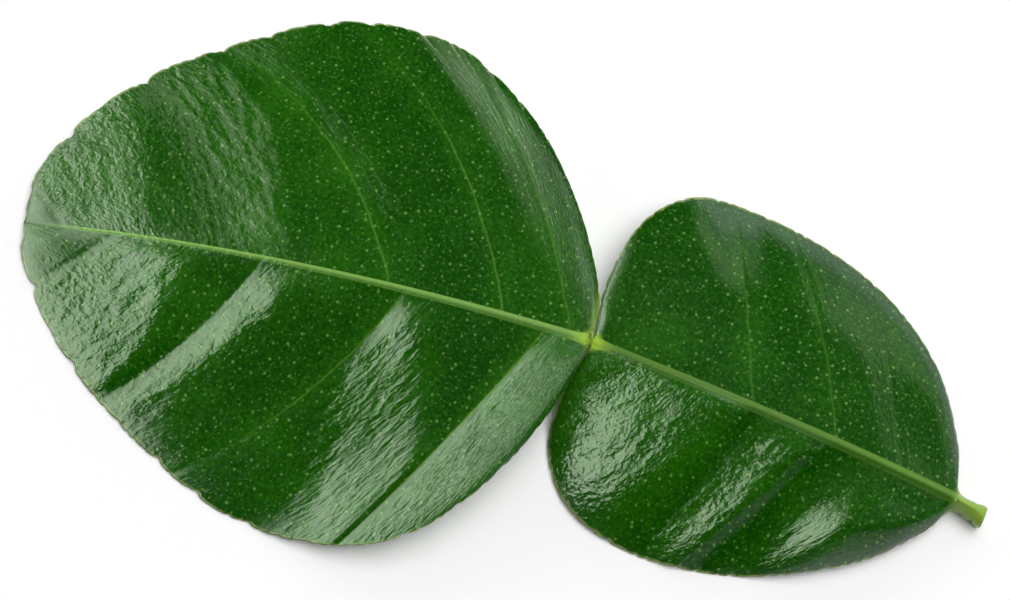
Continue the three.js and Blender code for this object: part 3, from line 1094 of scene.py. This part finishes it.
@dataclass(frozen=True)
class LeafFinish:
    """Glossy upper cuticle with pale oil glands and veins, over a matt pale underside.

    Its measures are in millimetres. bare is where the bare stalk ends, and roughness is that of
    the blade's upper side.
    """

    name: str
    # The two midrib colours are painted light and shade: lighter on the midrib's back side, darker
    # on its front side.
    rib_painted_lit: Colour
    rib_painted_shade: Colour
    bare: float
    roughness: float
    deep: Colour = srgb(9, 57, 1)
    # A lighter green for random tone, which also paints light on the crumpled flanks.
    fresh_and_painted_lit_green: Colour = srgb(38, 100, 5)
    gland: Colour = srgb(100, 144, 66)
    vein: Colour = srgb(92, 136, 42)
    joint: Colour = srgb(140, 176, 40)
    stalk: Colour = srgb(116, 148, 46)
    # Pale margin colour: partly the margin's own paler green, partly painted light that lifts the
    # shade on the thin edge.
    rim: Colour = srgb(132, 152, 82)
    under: Colour = srgb(112, 146, 82)
    under_vein: Colour = srgb(150, 176, 110)
    vein_width: float = 0.11
    vein_glow: float = 2.5
    furrow_width: float = 0.7
    joint_glow: float = 16.0
    rim_width: float = 0.4
    gland_spacing: float = 1.3
    relief_depth: float = 0.06
    rib_roughness: float = 0.12
    under_roughness: float = 0.62
    specular: float = 0.42

    def make(self) -> bpy.types.Material:
        """Makes the material.

        Returns:
            The material of the whole piece.
        """
        tree = LeafTree(bpy.data.materials.new(self.name))
        veins = self.veins(tree)
        glands = self.glands(tree)
        tip_fade = tree.root.step(LEAFLET_LENGTH - 1.5, LEAFLET_LENGTH - 8)
        rib = abs(tree.across_rib).step(1.05, 0.8) * tip_fade
        green = self.green(tree, veins, glands)
        green = tree.mix(green, self.rib(tree), rib)
        green = tree.mix(green, self.joint, tree.joint.step(1.5, 0.5) * 0.9)
        pale = tree.mix(self.under, self.under_vein, veins + rib)
        colour = tree.mix(green, pale, tree.lower)
        colour = tree.mix(colour, self.stalk, tree.root.step(self.bare + 1.0, self.bare - 0.5))
        dull = tree.noise(tree.place, 0.5, 3).step(0.3, 0.75) * 0.04
        gloss = self.roughness + dull + rib * self.rib_roughness
        rough = gloss * (1 - tree.lower) + tree.lower * self.under_roughness
        normal = self.relief(tree, glands)
        inputs = {"Base Color": colour, "Roughness": rough, "Normal": normal}
        return tree.finish({**inputs, "Specular IOR Level": self.specular})

    def veins(self, tree: LeafTree) -> Value:
        """Draws the lateral veins as thin lines that break up towards the margin.

        Args:
            tree: The tree to add to.

        Returns:
            How much of the vein colour shows.
        """
        line = tree.vein_away.step(self.vein_width * 1.8, self.vein_width * 0.5) * tree.past_base
        fade = tree.out.step(0.95, 0.35) * (tree.noise(tree.place, 0.8, 1) * 0.7 + 0.5)
        return line * fade * tree.mark

    def glands(self, tree: LeafTree) -> Value:
        """Scatters the oil glands: large pale dots with fainter small ones between.

        Args:
            tree: The tree to add to.

        Returns:
            How much of the gland colour shows.
        """
        scale = 1 / self.gland_spacing
        chance = tree.part(tree.cells(tree.place, scale, 1), 0)
        large = tree.cells(tree.place, scale) - (chance * 0.07 + 0.06)
        large = large.step(0.05, -0.06) * (chance * 0.5 + 0.15)
        between = tree.shift(tree.place, (7.3, 2.9, 0.0))
        chance = tree.part(tree.cells(between, scale * 2.1, 1), 1)
        small = tree.cells(between, scale * 2.1).step(0.24, 0.06)
        return large + small * chance.step(0.4, 1.0) * 0.4

    def green(self, tree: LeafTree, veins: Value, glands: Value) -> Value:
        """Colours the upper side between its midrib and its margin, with painted light on the
        crumpled flanks and partly on the margin.

        Args:
            tree: The tree to add to.
            veins: How much of the vein colour shows.
            glands: How much of the gland colour shows.

        Returns:
            The colour.
        """
        mottle = tree.noise(tree.place, 0.13, 3).step(0.4, 0.75) * 0.25
        fine = tree.noise(tree.place, 2.6, 3).step(0.35, 0.7) * 0.42
        glow = tree.vein_away.step(self.vein_glow, 0.0) * tree.mark * 0.35
        glow = glow + tree.joint.step(self.joint_glow, 0.0) * 0.2
        # Beside the random tone, crumple * 0.25 paints the crumpled flanks that face the tip,
        # where the gloss cards shine, a lighter green: painted light.
        tone_and_painted_light = mottle + fine - 0.08 + glow + tree.crumple * 0.25
        green = tree.mix(self.deep, self.fresh_and_painted_lit_green, tone_and_painted_light)
        green = tree.mix(green, self.gland, glands)
        green = tree.mix(green, self.vein, veins * 0.75)
        # The pale margin band is partly the margin's own colour and partly painted light lifting
        # the shaded thin edge.
        edge = tree.rim + (tree.noise(tree.place, 1.4, 2) - 0.5) * 0.6
        rim = edge.step(self.rim_width, 0.0) * tree.joint.step(0.8, 3.0) * 0.8
        return tree.mix(green, self.rim, rim)

    def rib(self, tree: LeafTree) -> Value:
        """Returns the colour of the midrib: its green with painted light on the back side and
        painted shade on the front side, yellower by the joint.
        """
        green = tree.mix(self.rib_painted_lit, self.rib_painted_shade, tree.across_rib.step(-0.5, 0.5))
        return tree.mix(green, self.joint, tree.joint.step(3.2, 0.3) * 0.75)

    def relief(self, tree: LeafTree, glands: Value) -> Value:
        """Wrinkles the crumpled places, dimples the glands and sinks the veins.

        Args:
            tree: The tree to add to.
            glands: How much of the gland colour shows.

        Returns:
            The normal of the surface.
        """
        crease = tree.noise(tree.stretch(tree.grain, (0.75, 0.4, 1.0)), 1.0, 3)
        wrinkle = tree.noise(tree.stretch(tree.grain, (2.2, 0.8, 1.0)), 1.0, 2)
        skin = abs(crease - 0.5) * -4.4 + wrinkle
        relief = skin * (tree.crumple * 0.8 + 0.15) - glands * 0.2
        furrow = tree.vein_away.step(0.0, self.furrow_width) * tree.past_base
        return tree.bump(relief + furrow * 0.3, self.relief_depth * MM)


@dataclass(frozen=True)
class FloorFinish:
    """Smooth matt white paper."""

    colour: Colour = (0.86, 0.86, 0.86, 1.0)
    roughness: float = 0.9
    specular: float = 0.1

    def make(self) -> bpy.types.Material:
        """Returns the material of the floor."""
        inputs = {"Base Color": self.colour, "Roughness": self.roughness}
        tree = Tree(bpy.data.materials.new("floor_paper"))
        return tree.finish({**inputs, "Specular IOR Level": self.specular})


class Duty(Enum):
    """What a softbox is for: it lights what is matt, or it shows in what is glossy."""

    LIGHT = "light"
    REFLECTION = "reflection"


@dataclass(frozen=True)
class Softbox:
    """A flat studio light in the plane above the leaf, seen from the camera's own heading.

    Its edges are in heights of the plane, from the point above the middle of the leaf.
    """

    name: str
    left: float
    right: float
    near: float
    far: float
    radiance: float
    colour: tuple[float, float, float] = (1.0, 1.0, 1.0)
    duty: Duty = Duty.REFLECTION
    height: float = 3.0

    def place(self, heading: float) -> None:
        """Hangs the light over the leaf, facing it from above.

        Args:
            heading: Radians from +X to the camera's right.
        """
        light = bpy.data.lights.new(self.name, "AREA")
        light.shape = "RECTANGLE"
        light.size = (self.right - self.left) * self.height
        light.size_y = (self.far - self.near) * self.height
        light.energy = self.radiance * math.pi * light.size * light.size_y
        light.color = self.colour
        lamp = bpy.data.objects.new(self.name, light)
        across = (self.left + self.right) / 2 * self.height
        along = (self.near + self.far) / 2 * self.height
        cos, sin = math.cos(heading), math.sin(heading)
        lamp.location = (across * cos - along * sin, across * sin + along * cos, self.height)
        lamp.rotation_euler = (0, 0, heading)
        lamp.visible_diffuse = self.duty is Duty.LIGHT
        lamp.visible_glossy = self.duty is Duty.REFLECTION
        bpy.context.scene.collection.objects.link(lamp)


GLOSS_TINT = (0.84, 1.0, 0.75)
HAZE_TINT = (0.74, 1.0, 0.56)


@dataclass
class Studio:
    """White floor, softboxes and the camera that looks down on the leaf.

    The walls shine in full below the second height of wall_fade and not above the first, as
    parts of a unit direction, and those in front of the leaf have only front_wall of that.
    """

    azimuth: float = 17.5
    elevation: float = 78.0
    distance: float = 0.3086
    lens: float = 100.0
    target: tuple[float, float, float] = (-0.00116, 0.0026, 0.0021)
    floor_size: float = 4.0
    dark: Colour = (0.0, 0.0, 0.0, 1.0)
    wall: Colour = (1.75, 1.77, 1.83, 1.0)
    wall_fade: tuple[float, float] = (0.45, 0.25)
    front_wall: float = 0.25
    boxes: tuple[Softbox, ...] = (
        Softbox("main_softbox", -0.1, 1.0, -0.3, 0.9, 4.5, duty=Duty.LIGHT),
        Softbox("back_softbox", -1.0, 1.0, 1.3, 2.5, 1.5, duty=Duty.LIGHT),
        Softbox("gloss_card_1", -0.55, -0.45, -0.18, 0.5, 4.2, GLOSS_TINT),
        Softbox("gloss_card_2", -0.7, -0.55, -0.6, 0.5, 6.2, GLOSS_TINT),
        Softbox("gloss_card_3", -0.88, -0.7, -0.6, 0.5, 8.4, GLOSS_TINT),
        Softbox("gloss_card_4", -1.2, -0.88, -0.6, 0.5, 9.2, GLOSS_TINT),
        Softbox("gloss_card_5", -2.6, -1.2, -0.6, 0.5, 9.6, GLOSS_TINT),
        Softbox("upper_card_1", -1.0, -0.75, 0.5, 1.8, 7.0, GLOSS_TINT),
        Softbox("upper_card_2", -2.6, -1.0, 0.5, 1.8, 8.4, GLOSS_TINT),
        Softbox("far_card", -0.75, -0.32, 0.5, 1.1, 2.4, HAZE_TINT),
        Softbox("edge_card", -0.45, -0.2, 0.27, 0.5, 1.3, HAZE_TINT),
        Softbox("shoulder_card", -0.55, -0.4, 0.42, 0.6, 8.0, GLOSS_TINT),
        Softbox("rim_card", -1.2, 0.3, 1.3, 2.5, 3.0, GLOSS_TINT),
        Softbox("right_card", 0.8, 1.6, 0.2, 1.75, 1.8, HAZE_TINT),
        Softbox("near_card", 0.45, 1.1, -0.48, 0.2, 1.1, HAZE_TINT),
    )

    def build(self) -> None:
        """Sets the floor, the lights, the world and the camera."""
        self.lay_floor()
        for box in self.boxes:
            box.place(math.radians(self.azimuth))
        self.light_room()
        self.set_camera()

    def lay_floor(self) -> None:
        """Lays the floor under the leaf."""
        bpy.ops.object.select_all(action="DESELECT")
        bpy.ops.mesh.primitive_plane_add(size=self.floor_size)
        floor = bpy.context.object
        floor.name = "floor"
        floor.data.materials.append(FloorFinish().make())
        floor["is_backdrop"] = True

    def light_room(self) -> None:
        """Lights the room softly from its walls, most from behind the leaf."""
        tree = Tree(bpy.data.worlds.new("studio_room"))
        direction = tree.add("ShaderNodeTexCoord", {}, {}, "Generated")
        heading = math.radians(self.azimuth)
        away = (-math.sin(heading), math.cos(heading), 0.0)
        dot = {"operation": "DOT_PRODUCT"}
        behind = tree.add("ShaderNodeVectorMath", dot, {0: direction, 1: away}, "Value")
        low = tree.part(direction, 2).step(*self.wall_fade)
        share = low * behind.step(-0.7, 0.6, self.front_wall, 1.0)
        light = tree.mix(self.dark, self.wall, share)
        tree.end("ShaderNodeOutputWorld", tree.add("ShaderNodeBackground", {}, {"Color": light}))
        bpy.context.scene.world = tree.owner
        bpy.context.scene.view_settings.view_transform = "Standard"

    def set_camera(self) -> None:
        """Points the camera at the leaf."""
        camera = bpy.data.objects.new("camera", bpy.data.cameras.new("camera"))
        camera.data.lens = self.lens
        camera.data.clip_start = 0.01
        turn, tilt = math.radians(self.azimuth), math.radians(self.elevation)
        level = math.cos(tilt)
        back = Vector((math.sin(turn) * level, -math.cos(turn) * level, math.sin(tilt)))
        camera.location = Vector(self.target) + back * self.distance
        camera.rotation_euler = back.to_track_quat("Z", "Y").to_euler()
        bpy.context.scene.collection.objects.link(camera)
        bpy.context.scene.camera = camera


@dataclass
class Leaf:
    """The whole leaf: the petiole and the leaflet that grows on from its far end."""

    petiole: WingedPetiole
    leaflet: Leaflet

    def build(self) -> list[bpy.types.Object]:
        """Models, places and dresses both pieces.

        Returns:
            The finished pieces.
        """
        pieces = [self.petiole.build(), self.leaflet.build()]
        turn, bend = math.radians(PETIOLE_TURN), math.radians(JOINT_BEND)
        tip = (PETIOLE_LENGTH * math.cos(turn), PETIOLE_LENGTH * math.sin(turn))
        places = [self.turned(pieces[0], turn, (0, 0)), self.turned(pieces[1], turn + bend, tip)]
        every = np.concatenate(places)
        low, high = every.min(0), every.max(0)
        shift = np.array([(low[0] + high[0]) / 2, (low[1] + high[1]) / 2, low[2]])
        for blade, piece, points in zip((self.petiole, self.leaflet), pieces, places):
            piece.data.vertices.foreach_set("co", ((points - shift) * MM).ravel())
            piece.data.update()
            # The midrib's painted lit and shaded colours.
            painted_rib_sides = (blade.rib_painted_lit, blade.rib_painted_shade)
            finish = LeafFinish(blade.slot, *painted_rib_sides, blade.stalk, blade.roughness)
            piece.data.materials.append(finish.make())
            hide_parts(blade.node)
            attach(piece, "root")
            blade.slot
        return pieces

    def turned(self, piece: bpy.types.Object, angle: float, offset: tuple[float, float]) -> Array:
        """Turns a piece's points about Z and moves them.

        Args:
            piece: The piece, still in its own frame.
            angle: Radians to turn.
            offset: How far to move in X and Y.

        Returns:
            The new points.
        """
        x, y, z = points_of(piece.data).T
        cos, sin = math.cos(angle), math.sin(angle)
        return np.stack([offset[0] + x * cos - y * sin, offset[1] + x * sin + y * cos, z], 1)


def plain(box: Any) -> list[list[float]]:
    """Returns a box as plain lists of numbers."""
    return [[float(c) for c in corner] for corner in box]


def main() -> None:
    """Builds the leaf and its studio, and reports each piece."""
    logging.basicConfig(level=logging.INFO, format="%(message)s")
    cad_box = plain(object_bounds())
    for piece in Leaf(WingedPetiole(), Leaflet()).build():
        log.info("%s: %d faces", piece.name, len(piece.data.polygons))
    Studio().build()
    sizes = {"cad": cad_box, "visual": plain(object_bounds())}


if __name__ == "__main__":
    main()
